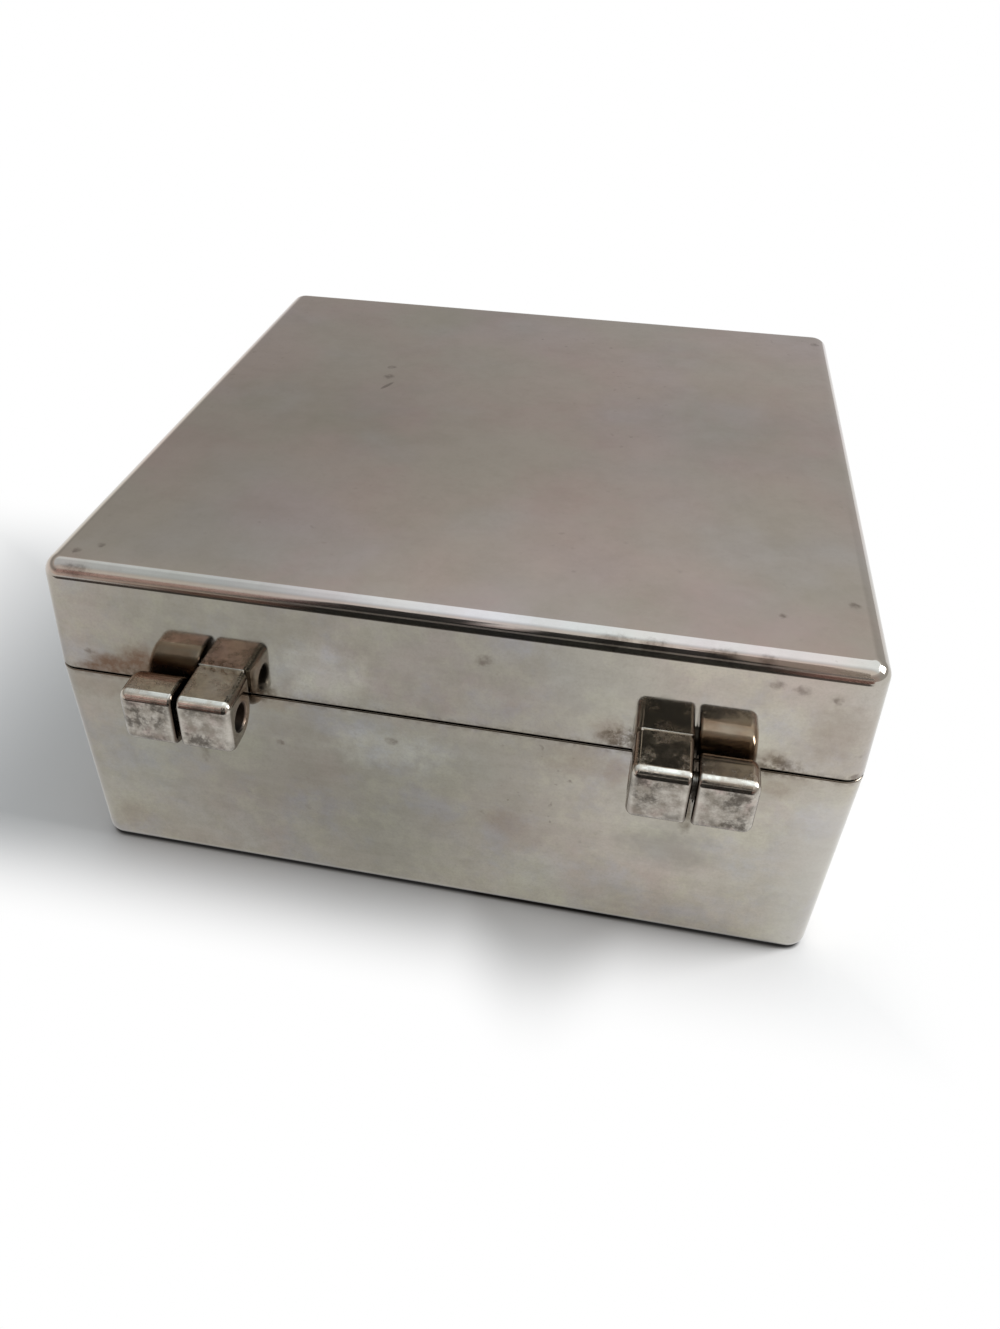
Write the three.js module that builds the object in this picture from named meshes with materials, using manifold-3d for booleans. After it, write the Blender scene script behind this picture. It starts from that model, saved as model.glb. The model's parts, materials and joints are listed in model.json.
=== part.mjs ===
// Square silver-plated trinket box: a lined base and a lid on two cube-knuckle stop hinges.
// Millimetres, +Z up. The origin is the middle of the underside, the front is at -Y and the
// hinges are at +Y. Left and right are as seen from the front.
import * as THREE from 'three';
import { mergeVertices } from 'three/addons/utils/BufferGeometryUtils.js';
import Module from 'manifold-3d';

// Box, measured where the lid meets the base, its widest place
const boxWidth = 115;
const boxDepth = 115;
const baseHeight = 36.5;
const lidHeight = 18;
const wall = 1.5;
const draftDegrees = 1.3;
const cornerRadius = 3;
const topEdgeRadius = 2.4;
const bottomEdgeRadius = 2.2;
const innerEdgeRadius = 0.8;
const rimGap = 0.3;
const rimChamfer = 0.3;

// Scoop for a fingernail, under the front of the lid
const nickWidth = 18;
const nickHeight = 3;
const nickSkin = 0.6;

// Hinges, each set in from the side of the box to the gap between its knuckles
const hingeInset = 22.3;
const knuckleWidth = 7.9;
const knuckleHeight = 8.9;
const knuckleReach = 8.2;
const knuckleGap = 0.6;
const knuckleFrontRadius = 1;
const knuckleEndRadius = 0.6;
const hingeClearance = 0.15;
const pinDrop = 0.35;
const pinDiameter = 3.8;
const pinClearance = 0.1;
const pinRecess = 2;
const pinChamfer = 0.3;

// Strip inside the base rim that stands up into the lid
const lipThickness = 1;
const lipRise = 2.5;
const lipDepth = 6;
const lipClearance = 0.25;
const lipLeadIn = 0.4;

// Velvet lining
const liningThickness = 2;
const liningEdgeRadius = 0.5;
const liningGap = 0.3;
const padThickness = 2.4;
const padCrown = 0.9;
const padEdgeRadius = 0.9;
const padFootChamfer = 0.4;
const padCornerRadius = 1.5;

// Fineness of the round forms
const cornerSteps = 7;
const edgeSteps = 5;
const roundSteps = 24;
const bevelSteps = 2;
const sharpCorner = 0.15;

const silver = { color: 0xbdb8ae, metalness: 1, roughness: 0.12 };
const wornSilver = { color: 0xb3aca2, metalness: 1, roughness: 0.2 };
const pinSteel = { color: 0x8b8782, metalness: 1, roughness: 0.35 };
const velvet = { color: 0x1f2a4d, metalness: 0, roughness: 0.95 };

const draft = THREE.MathUtils.degToRad(draftDegrees);
const slope = Math.tan(draft);

const wasm = await Module();
wasm.setup();

// Outline of the box at a height, moved inwards by inset: points counter-clockwise round a rectangle
// with round corners
function section(inset, z, radius = Math.max(cornerRadius - inset, sharpCorner)) {
  const points = [];
  for (let corner = 0; corner < 4; corner += 1) {
    const signX = corner === 0 || corner === 3 ? 1 : -1;
    const signY = corner < 2 ? 1 : -1;
    const centreX = signX * (boxWidth / 2 - inset - radius);
    const centreY = signY * (boxDepth / 2 - inset - radius);
    for (let step = 0; step <= cornerSteps; step += 1) {
      const angle = (corner + step / cornerSteps) * (Math.PI / 2);
      const x = centreX + radius * Math.cos(angle);
      const y = centreY + radius * Math.sin(angle);
      points.push(new THREE.Vector3(x, y, z));
    }
  }
  return points;
}

// Skin over sections that run down the outside of a form. An open run is capped at its first and last
// section, and a ring joins its last section to its first.
function loft(sections, isRing = false) {
  const count = sections[0].length;
  const index = [];
  const bands = isRing ? sections.length : sections.length - 1;
  for (let band = 0; band < bands; band += 1) {
    const upper = band * count;
    const lower = ((band + 1) % sections.length) * count;
    for (let i = 0; i < count; i += 1) {
      const next = (i + 1) % count;
      index.push(upper + i, lower + i, upper + next);
      index.push(upper + next, lower + i, lower + next);
    }
  }
  if (!isRing) {
    const last = (sections.length - 1) * count;
    for (let i = 1; i < count - 1; i += 1) {
      index.push(0, i, i + 1);
      index.push(last, last + i + 1, last + i);
    }
  }
  const geometry = new THREE.BufferGeometry().setFromPoints(sections.flat());
  geometry.setIndex(index);
  return geometry;
}

// Quarter round between a drafted wall and a floor, as [inset, z] points from the wall to the floor
function edgeRound(rimZ, wallInset, floorZ, radius) {
  const centreZ = floorZ + radius;
  const centreInset = wallInset + slope * (rimZ - centreZ) + radius / Math.cos(draft);
  const points = [];
  for (let step = 0; step <= edgeSteps; step += 1) {
    const angle = Math.PI + draft + (step / edgeSteps) * (Math.PI / 2 - draft);
    points.push([centreInset + radius * Math.cos(angle), centreZ + radius * Math.sin(angle)]);
  }
  return points;
}

// Drawn tray that stands on its flat floor: up the inside, over the rim and down the outside
function tray(height, edgeRadius) {
  const rimZ = height - rimGap / 2;
  const inside = edgeRound(height, wall, wall, innerEdgeRadius).reverse();
  const outside = edgeRound(height, 0, 0, edgeRadius);
  const rimInset = slope * (height - rimZ);
  const rim = [
    [wall + rimInset, rimZ],
    [rimInset + rimChamfer, rimZ],
    [rimInset + slope * rimChamfer, rimZ - rimChamfer],
  ];
  return loft([...inside, ...rim, ...outside].map(([inset, z]) => section(inset, z)));
}

function toSolid(geometry) {
  const bare = geometry.clone();
  bare.deleteAttribute('normal');
  bare.deleteAttribute('uv');
  const merged = mergeVertices(bare);
  const vertProperties = new Float32Array(merged.attributes.position.array);
  const triVerts = new Uint32Array(merged.index.array);
  return new wasm.Manifold(new wasm.Mesh({ numProp: 3, vertProperties, triVerts }));
}

function fromSolid(solid) {
  const mesh = solid.getMesh();
  const geometry = new THREE.BufferGeometry();
  geometry.setAttribute('position', new THREE.BufferAttribute(mesh.vertProperties, 3));
  geometry.setIndex(new THREE.BufferAttribute(mesh.triVerts, 1));
  return geometry;
}

// The base is the deeper tray, with a shallow scoop in the outer face of its front rim
function baseShell() {
  const scoop = new THREE.SphereGeometry(1, roundSteps, roundSteps / 2);
  scoop.scale(nickWidth / 2, wall - nickSkin, nickHeight);
  scoop.translate(0, -boxDepth / 2, baseHeight - rimGap / 2);
  return fromSolid(toSolid(tray(baseHeight, bottomEdgeRadius)).subtract(toSolid(scoop)));
}

// The lip follows the base wall below the joint and the lid wall above it
function rimLip() {
  const top = baseHeight + lipRise;
  const bottom = baseHeight - lipDepth;
  const outer = wall + lipClearance;
  const inner = outer + lipThickness;
  const lean = (z) => slope * Math.abs(z - baseHeight);
  const profile = [
    [outer + lean(top) + lipLeadIn, top],
    [outer + lean(top - lipLeadIn), top - lipLeadIn],
    [outer, baseHeight],
    [outer + lean(bottom), bottom],
    [inner + lean(bottom), bottom],
    [inner, baseHeight],
    [inner + lean(top), top],
  ];
  return loft(profile.map(([inset, z]) => section(inset, z)), true);
}

// Pin axis: far enough behind the wall for the square knuckles to swing past it and stop flat against it
const halfKnuckle = knuckleHeight / 2;
const pinSetback = halfKnuckle + hingeClearance;
const pinY = boxDepth / 2 + pinSetback;
const pinZ = baseHeight - pinDrop;

// Knuckle of the lid, round the pin: flat rear face on the lid wall, and a lower rear quarter that is
// round about the pin, so that it clears the base wall. Turned over, it is the knuckle of the base.
function knuckle() {
  const front = knuckleReach - pinSetback;
  const round = knuckleFrontRadius;
  const outline = new THREE.Shape();
  outline.moveTo(-halfKnuckle, 0);
  outline.absarc(0, 0, halfKnuckle, Math.PI, 1.5 * Math.PI, false);
  outline.absarc(front - round, round - halfKnuckle, round, -Math.PI / 2, 0, false);
  outline.absarc(front - round, halfKnuckle - round, round, 0, Math.PI / 2, false);
  outline.lineTo(-halfKnuckle - slope * halfKnuckle, halfKnuckle);
  outline.closePath();
  const bore = new THREE.Path();
  const boreRadius = pinDiameter / 2 + pinClearance;
  bore.absarc(0, 0, boreRadius, 0, -Math.PI, true);
  bore.absarc(0, 0, boreRadius, Math.PI, 0, true);
  outline.holes.push(bore);

  const depth = knuckleWidth - 2 * knuckleEndRadius;
  const geometry = new THREE.ExtrudeGeometry(outline, {
    depth,
    bevelThickness: knuckleEndRadius,
    bevelSize: knuckleEndRadius,
    bevelOffset: -knuckleEndRadius,
    bevelSegments: bevelSteps,
    curveSegments: roundSteps / 4,
  });
  geometry.translate(0, 0, -depth / 2);
  const alongY = new THREE.Vector3(0, 1, 0);
  const alongZ = new THREE.Vector3(0, 0, 1);
  const alongX = new THREE.Vector3(1, 0, 0);
  return geometry.applyMatrix4(new THREE.Matrix4().makeBasis(alongY, alongZ, alongX));
}

// Pin along X, sunk below the outer faces of both knuckles
function hingePin() {
  const radius = pinDiameter / 2;
  const half = knuckleWidth + knuckleGap / 2 - pinRecess;
  const profile = [
    new THREE.Vector2(0, -half),
    new THREE.Vector2(radius - pinChamfer, -half),
    new THREE.Vector2(radius, -half + pinChamfer),
    new THREE.Vector2(radius, half - pinChamfer),
    new THREE.Vector2(radius - pinChamfer, half),
    new THREE.Vector2(0, half),
  ];
  return new THREE.LatheGeometry(profile, roundSteps).rotateZ(-Math.PI / 2);
}

// Crowned velvet pad that lies on z = 0, its edge rolled over, at an inset from the box outline
function pad(inset) {
  const top = padThickness;
  const reach = Math.min(boxWidth, boxDepth) / 2 - inset;
  const profile = [];
  for (let ring = 1; ring <= edgeSteps; ring += 1) {
    const share = ring / (edgeSteps + 1);
    const fromEdge = (reach - padEdgeRadius) * (1 - share) + padEdgeRadius;
    profile.push([inset + fromEdge, top + padCrown * Math.cos(share * (Math.PI / 2))]);
  }
  for (let step = 0; step <= edgeSteps; step += 1) {
    const angle = (step / edgeSteps) * (Math.PI / 2);
    const sink = padEdgeRadius * (1 - Math.cos(angle));
    profile.push([inset + padEdgeRadius * (1 - Math.sin(angle)), top - sink]);
  }
  profile.push([inset, padFootChamfer]);
  profile.push([inset + padFootChamfer, 0]);
  return loft(profile.map(([ringInset, z]) => section(ringInset, z, padCornerRadius)));
}

// Velvet-covered board, wider at the top as the drafted walls are. Its outer face is at z = 0, its lower
// edge at y = 0, and it stands up along +Y.
function liningBoard(halfBottom, height) {
  const halfTop = halfBottom + slope * height;
  const outline = new THREE.Shape();
  outline.moveTo(-halfBottom, 0);
  outline.lineTo(halfBottom, 0);
  outline.lineTo(halfTop, height);
  outline.lineTo(-halfTop, height);
  outline.closePath();
  const geometry = new THREE.ExtrudeGeometry(outline, {
    depth: liningThickness - 2 * liningEdgeRadius,
    bevelThickness: liningEdgeRadius,
    bevelSize: liningEdgeRadius,
    bevelOffset: -liningEdgeRadius,
    bevelSegments: bevelSteps,
  });
  return geometry.translate(0, 0, liningEdgeRadius - liningThickness);
}

function addPiece(parent, name, geometry, finish) {
  const mesh = new THREE.Mesh(geometry, new THREE.MeshStandardMaterial(finish));
  mesh.name = name;
  parent.add(mesh);
  return mesh;
}

const box = new THREE.Group();
addPiece(box, 'base_shell', baseShell(), silver);
addPiece(box, 'rim_lip', rimLip(), silver);

// Lining of the base: four boards against the walls, under the lip, and a pad between them
const boardBottom = wall + liningGap;
const boardTop = baseHeight - lipDepth - liningGap;
const boardHeight = (boardTop - boardBottom) / Math.cos(draft);
const boardInset = wall + slope * (baseHeight - boardBottom) + liningGap;
const innerCorner = Math.max(cornerRadius - wall, sharpCorner);
const sides = ['front', 'right', 'rear', 'left'];
sides.forEach((side, quarter) => {
  const isLong = side === 'front' || side === 'rear';
  const alongWall = isLong ? boxWidth : boxDepth;
  const acrossBox = isLong ? boxDepth : boxWidth;
  const endGap = isLong ? innerCorner : liningThickness + liningGap;
  const turned = new THREE.Group();
  turned.rotation.z = quarter * (Math.PI / 2);
  box.add(turned);
  const board = liningBoard(alongWall / 2 - boardInset - endGap, boardHeight);
  const mesh = addPiece(turned, `lining_${side}`, board, velvet);
  mesh.rotation.x = Math.PI / 2 + draft;
  mesh.position.set(0, boardInset - acrossBox / 2, boardBottom);
});
const floorPad = addPiece(box, 'floor_pad', pad(boardInset + liningThickness + liningGap), velvet);
floorPad.position.z = wall + liningGap;

// The lid is a shallower tray turned over, with its own pad under its top
const lid = new THREE.Group();
lid.rotation.x = Math.PI;
lid.position.z = baseHeight + lidHeight;
box.add(lid);
addPiece(lid, 'lid_shell', tray(lidHeight, topEdgeRadius), silver);
const lidPadInset = wall + slope * (lidHeight - wall) + innerEdgeRadius + liningGap;
const lidPad = addPiece(lid, 'lid_pad', pad(lidPadInset), velvet);
lidPad.position.z = wall + liningGap;

// Each hinge has the lid's knuckle towards the middle of the box and the base's towards its side
const knuckleOffset = (knuckleWidth + knuckleGap) / 2;
const hingeSides = { left: -1, right: 1 };
Object.entries(hingeSides).forEach(([side, sign]) => {
  const hinge = new THREE.Group();
  hinge.position.set(sign * (boxWidth / 2 - hingeInset), pinY, pinZ);
  box.add(hinge);
  const lidKnuckle = addPiece(hinge, `lid_knuckle_${side}`, knuckle(), wornSilver);
  lidKnuckle.position.x = -sign * knuckleOffset;
  const baseKnuckle = addPiece(hinge, `base_knuckle_${side}`, knuckle(), wornSilver);
  baseKnuckle.position.x = sign * knuckleOffset;
  baseKnuckle.rotation.y = Math.PI;
  addPiece(hinge, `hinge_pin_${side}`, hingePin(), pinSteel);
});

export default box;
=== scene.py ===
import json
import math

import bmesh
import bpy
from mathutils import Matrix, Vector


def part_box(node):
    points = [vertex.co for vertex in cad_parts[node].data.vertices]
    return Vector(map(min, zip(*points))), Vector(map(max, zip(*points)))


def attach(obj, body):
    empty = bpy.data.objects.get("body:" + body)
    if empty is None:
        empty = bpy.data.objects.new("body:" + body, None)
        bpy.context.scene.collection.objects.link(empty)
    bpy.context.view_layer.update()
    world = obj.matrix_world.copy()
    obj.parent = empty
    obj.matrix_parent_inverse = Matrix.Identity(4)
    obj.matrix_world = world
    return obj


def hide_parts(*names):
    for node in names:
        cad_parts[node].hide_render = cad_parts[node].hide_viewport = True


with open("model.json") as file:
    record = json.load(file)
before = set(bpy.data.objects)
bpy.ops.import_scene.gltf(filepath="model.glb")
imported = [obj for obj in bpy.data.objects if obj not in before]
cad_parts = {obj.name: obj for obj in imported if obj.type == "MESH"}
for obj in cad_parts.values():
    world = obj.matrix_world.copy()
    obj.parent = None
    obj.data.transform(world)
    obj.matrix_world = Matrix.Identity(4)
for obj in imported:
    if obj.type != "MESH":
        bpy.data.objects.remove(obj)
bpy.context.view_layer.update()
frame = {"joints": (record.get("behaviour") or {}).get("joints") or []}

# Camera
# A phone held close behind the box, above its hinges. The lens axis lies a little left of the picture's
# middle and above it, so the frame is shifted to match.
mm = 0.001
camera_place = Vector((-23.65, 167.02, 135.17)) * mm
camera_turn = (54.25, -0.53, -168.09)
lens_length = 28.92
lens_shift_x = 0.0401
lens_shift_y = -0.0360
lens_nearest = 10 * mm
bpy.ops.object.camera_add(location=camera_place, rotation=[math.radians(turn) for turn in camera_turn])
camera = bpy.context.object
camera.data.lens = lens_length
camera.data.shift_x = lens_shift_x
camera.data.shift_y = lens_shift_y
camera.data.clip_start = lens_nearest
bpy.context.scene.camera = camera
bpy.context.scene.view_settings.view_transform = "Standard"

# Base tray
# The lower half is a deep tray of silver-plated sheet, drawn in one piece: a flat floor, a round bottom
# edge and walls that lean out a little to the rim. The plate is polished bright and lightly tarnished.
base_low, base_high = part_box("base_shell")
lid_low, lid_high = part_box("lid_shell")
rim_half = base_high.x
sheet = 1.5 * mm
draft = math.tan(math.radians(1.3))
corner_radius = 3.0 * mm
rim_round = 0.2 * mm
base_edge_radius = 2.2 * mm
nick_half = Vector((9, 0.9, 3)) * mm
nick_place = Vector((0, base_low.y, base_high.z))
fine_steps = 10
rim_steps = 4
touching = 0.01 * mm


def near(a, b):
    return abs(a - b) < touching


def block(name, low, high):
    """A cube primitive at its size and place, with the place in its mesh."""
    bpy.ops.object.select_all(action="DESELECT")
    bpy.ops.mesh.primitive_cube_add(size=1, location=(low + high) / 2, scale=high - low)
    bpy.ops.object.transform_apply(location=True, rotation=True, scale=True)
    piece = bpy.context.object
    piece.name = piece.data.name = name
    return piece


def pick(piece, kind, test):
    """In edit mode, selects the vertices, edges or faces that pass a test, and nothing else."""
    bpy.ops.mesh.select_mode(type=kind)
    bpy.ops.mesh.select_all(action="DESELECT")
    mesh = bmesh.from_edit_mesh(piece.data)
    parts = {"VERT": mesh.verts, "EDGE": mesh.edges, "FACE": mesh.faces}[kind]
    for part in parts:
        part.select = test(part)
    mesh.select_flush_mode()
    bmesh.update_edit_mesh(piece.data)


def round_edges(radius, steps):
    bpy.ops.mesh.bevel(offset=radius, segments=steps, affect="EDGES", clamp_overlap=False)


def modify(piece, kind, **settings):
    """Adds a modifier to a piece and applies it."""
    bpy.context.view_layer.objects.active = piece
    modifier = piece.modifiers.new(kind.lower(), kind)
    for name, value in settings.items():
        setattr(modifier, name, value)
    bpy.ops.object.modifier_apply(modifier=modifier.name)


def smooth(piece, angle=35):
    """Smooth shading with flat faces kept flat, for a surface that mirrors."""
    bpy.ops.object.select_all(action="DESELECT")
    piece.select_set(True)
    bpy.context.view_layer.objects.active = piece
    bpy.ops.object.shade_smooth_by_angle(angle=math.radians(angle))
    modify(piece, "WEIGHTED_NORMAL", keep_sharp=True, weight=100)


def drawn_tray(name, rim_z, closed_z, edge_radius):
    """Open tray from its rim to its closed face, which may be above the rim or below it."""
    low = Vector((-rim_half, -rim_half, min(rim_z, closed_z)))
    high = Vector((rim_half, rim_half, max(rim_z, closed_z)))
    piece = block(name, low, high)
    bpy.ops.object.mode_set(mode="EDIT")
    pick(piece, "VERT", lambda v: near(v.co.z, closed_z))
    taper = 1 - draft * abs(rim_z - closed_z) / rim_half
    bpy.ops.transform.resize(value=(taper, taper, 1), center_override=(0, 0, closed_z))
    pick(piece, "EDGE", lambda e: not near(e.verts[0].co.z, e.verts[1].co.z))
    round_edges(corner_radius, fine_steps)
    pick(piece, "EDGE", lambda e: all(near(v.co.z, closed_z) for v in e.verts))
    round_edges(edge_radius, fine_steps)
    pick(piece, "FACE", lambda f: all(near(v.co.z, rim_z) for v in f.verts))
    bpy.ops.mesh.delete(type="ONLY_FACE")
    bpy.ops.object.mode_set(mode="OBJECT")
    modify(piece, "SOLIDIFY", thickness=sheet, offset=-1, use_even_offset=True)
    bpy.ops.object.mode_set(mode="EDIT")
    pick(piece, "FACE", lambda f: all(abs(v.co.z - rim_z) < sheet / 10 for v in f.verts))
    bpy.ops.mesh.region_to_loop()
    round_edges(rim_round, rim_steps)
    bpy.ops.object.mode_set(mode="OBJECT")
    return piece


base_tray = drawn_tray("base_tray", base_high.z, base_low.z, base_edge_radius)

# A shallow scoop in the front of the rim, for a fingernail
bpy.ops.object.select_all(action="DESELECT")
bpy.ops.mesh.primitive_uv_sphere_add(segments=64, ring_count=32, radius=1, location=nick_place,
                                     scale=nick_half)
scoop = bpy.context.object
modify(base_tray, "BOOLEAN", object=scoop, operation="DIFFERENCE", solver="EXACT")
bpy.data.objects.remove(scoop)
smooth(base_tray)


class Shade:
    """A socket in a node tree. Arithmetic on it adds Math nodes, and node() adds any other node."""

    def __init__(self, tree, socket):
        self.tree = tree
        self.socket = socket

    def node(self, kind, settings=None, sockets=None, output=0):
        made = self.tree.nodes.new(kind)
        for name, value in (settings or {}).items():
            setattr(made, name, value)
        for name, value in (sockets or {}).items():
            self.feed(made.inputs[name], value)
        return Shade(self.tree, made.outputs[output])

    def feed(self, socket, value):
        if isinstance(value, Shade):
            self.tree.links.new(value.socket, socket)
        else:
            socket.default_value = value

    def math(self, operation, first, second):
        return self.node("ShaderNodeMath", {"operation": operation}, {0: first, 1: second})

    def __add__(self, other):
        return self.math("ADD", self, other)

    def __radd__(self, other):
        return self.math("ADD", other, self)

    def __sub__(self, other):
        return self.math("SUBTRACT", self, other)

    def __rsub__(self, other):
        return self.math("SUBTRACT", other, self)

    def __mul__(self, other):
        return self.math("MULTIPLY", self, other)

    def __rmul__(self, other):
        return self.math("MULTIPLY", other, self)

    def __abs__(self):
        return self.node("ShaderNodeMath", {"operation": "ABSOLUTE"}, {0: self})

    def either(self, other):
        """The larger of two masks."""
        return self.math("MAXIMUM", self, other)

    def at_least(self, least):
        """This mask lifted so that it runs from a least value to 1."""
        return least + (1 - least) * self

    def step(self, low, high):
        """A smooth rise from 0 at one value to 1 at another, or a fall where low is above high."""
        sockets = {"Value": self, "From Min": min(low, high), "From Max": max(low, high),
                   "To Min": float(low > high), "To Max": float(low < high)}
        return self.node("ShaderNodeMapRange", {"interpolation_type": "SMOOTHSTEP"}, sockets)

    def mix(self, blend, first, second):
        settings = {"data_type": "RGBA", "blend_type": blend}
        return self.node("ShaderNodeMix", settings, {"Factor": self, 6: first, 7: second}, output=2)

    def between(self, first, second):
        """One colour turned into another by this share."""
        return self.mix("MIX", first, second)

    def tinting(self, first, second):
        """One colour multiplied by another by this share."""
        return self.mix("MULTIPLY", first, second)


def new_finish(name):
    """A material, its shader node and its Object coordinates."""
    material = bpy.data.materials.new(name)
    material.use_nodes = True
    tree = material.node_tree
    shader = tree.nodes["Principled BSDF"]
    coordinates = tree.nodes.new("ShaderNodeTexCoord")
    return material, shader, Shade(tree, coordinates.outputs["Object"])


def grain(place, scale, detail, roughness):
    sockets = {"Vector": place, "Scale": scale, "Detail": detail, "Roughness": roughness}
    return place.node("ShaderNodeTexNoise", {}, sockets)


def clouds(place, scale, detail, roughness, start, full):
    """A mask from grain, which is 0 where the grain is at its start value and 1 at its full value."""
    return grain(place, scale, detail, roughness).step(start, full)


def coated(tone, coats):
    """A tone under several coats, each given as its mask, the share that it covers and its own tone."""
    for mask, share, coat_tone in coats:
        tone = (mask * share).between(tone, coat_tone)
    return tone


def axis(place, index):
    return place.node("ShaderNodeSeparateXYZ", {}, {0: place}, output=index)


def distance(place, middle):
    sockets = {0: place, 1: middle}
    return place.node("ShaderNodeVectorMath", {"operation": "DISTANCE"}, sockets, output="Value")


def oval(place, middle, reach, turn=0):
    """Distance from a middle, which is 1 at the reach along each axis, with a turn about the upright."""
    sockets = {"Vector": place, "Location": middle, "Rotation": (0, 0, turn), "Scale": reach}
    return distance(place.node("ShaderNodeMapping", {"vector_type": "TEXTURE"}, sockets), (0, 0, 0))


def stain(place, middle, reach, ragged):
    """A ragged oval mask: 1 at its middle and 0 beyond its reach along each axis."""
    ragged_edge = grain(place, scale=stain_grain / min(reach), detail=5, roughness=0.6) - 0.5
    return (oval(place, middle, reach) + ragged_edge * (2 * ragged)).step(1, stain_core)


def stains(place, marks, ragged):
    """The largest of several stains, each given as its middle and its reach along x, y and z in mm."""
    together = None
    for middle, reach in marks:
        mark = stain(place, Vector(middle) * mm, Vector(reach) * mm, ragged)
        together = together.either(mark) if together else mark
    return together


def outside(place, half):
    """How far a point lies outside a square with round corners of this half width, in plan."""
    across = (abs(axis(place, 0)) - (half - corner_radius)).either(0)
    back = (abs(axis(place, 1)) - (half - corner_radius)).either(0)
    corner = place.node("ShaderNodeCombineXYZ", {}, {0: across, 1: back})
    return distance(corner, (0, 0, 0)) - corner_radius


def relief(place, height, strength, depth):
    sockets = {"Height": height, "Strength": strength, "Distance": depth}
    return place.node("ShaderNodeBump", {}, sockets)


# Tones of the plate, of its tarnish and of painted light and shade, and tints that multiply them
plate_tone = (0.49, 0.452, 0.405, 1)
olive_tone = (0.385, 0.366, 0.296, 1)
pink_tone = (0.475, 0.385, 0.36, 1)
cloud_tone = (0.53, 0.52, 0.50, 1)
lilac_tone = (0.43, 0.425, 0.45, 1)
cream_tone = (0.54, 0.515, 0.41, 1)
film_tone = (0.33, 0.30, 0.255, 1)
wiped_tone = (0.545, 0.51, 0.465, 1)
end_light_tone = (0.60, 0.59, 0.575, 1)
haze_tone = (0.24, 0.172, 0.13, 1)
beside_hinge_shade_tone = (0.165, 0.105, 0.072, 1)
crust_and_shade_tone = (0.105, 0.077, 0.051, 1)
joint_and_foot_shade_tone = (0.075, 0.053, 0.034, 1)
spot_tone = (0.12, 0.09, 0.075, 1)
rosy_tints = ((1.0, 1.008, 1.015, 1), (1.044, 0.982, 1.02, 1))
warm_tints = ((0.994, 1.0, 1.05, 1), (1.012, 1.0, 0.98, 1))
wall_tint = (1.0, 1.0, 0.975, 1)
base_tint = (1.008, 1.02, 1.008, 1)
reflection_tint = (1.25, 1.28, 1.31, 1)
under_hinge_shade_tint = (0.78, 0.785, 0.80, 1)
darkening_tint = (0.675, 0.68, 0.67, 1)

# The joint, the middle of the painted shade on the rear wall, the wiping streaks and the scratch on the lid
joint_z = (base_high.z + lid_low.z) / 2
wall_shade_middle = Vector((18, 57, 47)) * mm
wipe_scale = (60, 60, 900)
scratch_middle = Vector((24.55, -11.9, 54.5)) * mm
scratch_half = (2.3 * mm, 0.5 * mm, 1 * mm)
scratch_turn = math.radians(66)

# Where the finish changes, each as the place or grain at which a share is 0 and that at which it is 1.
# Right is the photo's right.
wall_z = (53.6 * mm, 52.4 * mm)
base_z = (38 * mm, 34 * mm)
rear_y = (54.0 * mm, 56.5 * mm)
wall_shade_reach = (62 * mm, 20 * mm)
wall_shade_y = (56.2 * mm, 57.0 * mm)
low_right_x = (-8 * mm, -38 * mm)
low_right_z = (20 * mm, 6 * mm)
end_light_x = (-47 * mm, -56 * mm)
end_light_z = (36 * mm, 30 * mm)
foot_shade_z = (1.6 * mm, 0.9 * mm)
joint_line = (0.45 * mm, 0.26 * mm)
joint_grime = (1.3 * mm, 0.3 * mm)
outer_skin = (-0.45 * mm, -0.2 * mm)
scratch_edge = (1.0, 0.5)
haze_grain = (0.35, 0.60)
crust_grain = (0.33, 0.60)
grime_grain = (0.40, 0.60)

# Places and reaches of stains in mm, on the rear wall near the joint, on the lid and on its rear edge
near_joint = 3 * mm
wall_y = (rim_half - draft * near_joint) / mm
top_z = lid_high.z / mm
edge_in = 0.8
edge_down = 0.9
edge_reach = 1.3
skin_reach = 3
stain_grain = 1.4
stain_core = 0.25


def on_wall(*marks):
    """Stains on the rear wall, each given as its place along it, its height, and both reaches."""
    return [((x, wall_y, z), (wide, skin_reach, high)) for x, z, wide, high in marks]


def on_lid(*marks):
    """Stains on the lid's top, each given as its place along and back, and its reach."""
    return [((x, y, top_z), (reach, reach, skin_reach)) for x, y, reach in marks]


def on_edge(*marks):
    """Stains along the lid's round rear edge, each given as its place and its reach."""
    edge_y = wall_y - edge_in
    edge_z = top_z - edge_down
    return [((x, edge_y, edge_z), (reach, edge_reach, edge_reach)) for x, reach in marks]


# Tarnish that polishing leaves round the hinges and along the joint, and painted shade by the hinges
painted_shade_beside_hinge = on_wall((43.8, 39.6, 4.8, 4.1), (47.6, 38.2, 6.6, 2.9), (50.8, 37.4, 4.4, 1.6))
faint_brown = on_wall((-25.0, 32.4, 3.2, 4.0), (-23.6, 39.2, 3.0, 3.2), (-45.2, 38.4, 3.2, 2.4),
                      (-46.6, 33.6, 3.4, 2.6))
pink_haze = on_wall((-22.0, 33.0, 9.0, 5.0), (-47.0, 35.0, 5.5, 4.0), (24.0, 35.5, 4.5, 2.5),
                    (-52.0, 44.0, 5.0, 7.0), (51.0, 34.0, 6.0, 3.5), (50.5, 6.5, 5.0, 5.0),
                    (-10.5, 18.8, 5.0, 4.0))
dark_crust = on_wall((31.0, 41.3, 4.6, 1.0), (44.6, 37.3, 3.0, 1.6), (25.4, 37.6, 2.6, 2.4),
                     (-25.4, 38.2, 4.2, 3.0), (-45.4, 37.2, 4.4, 2.6))
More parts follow.
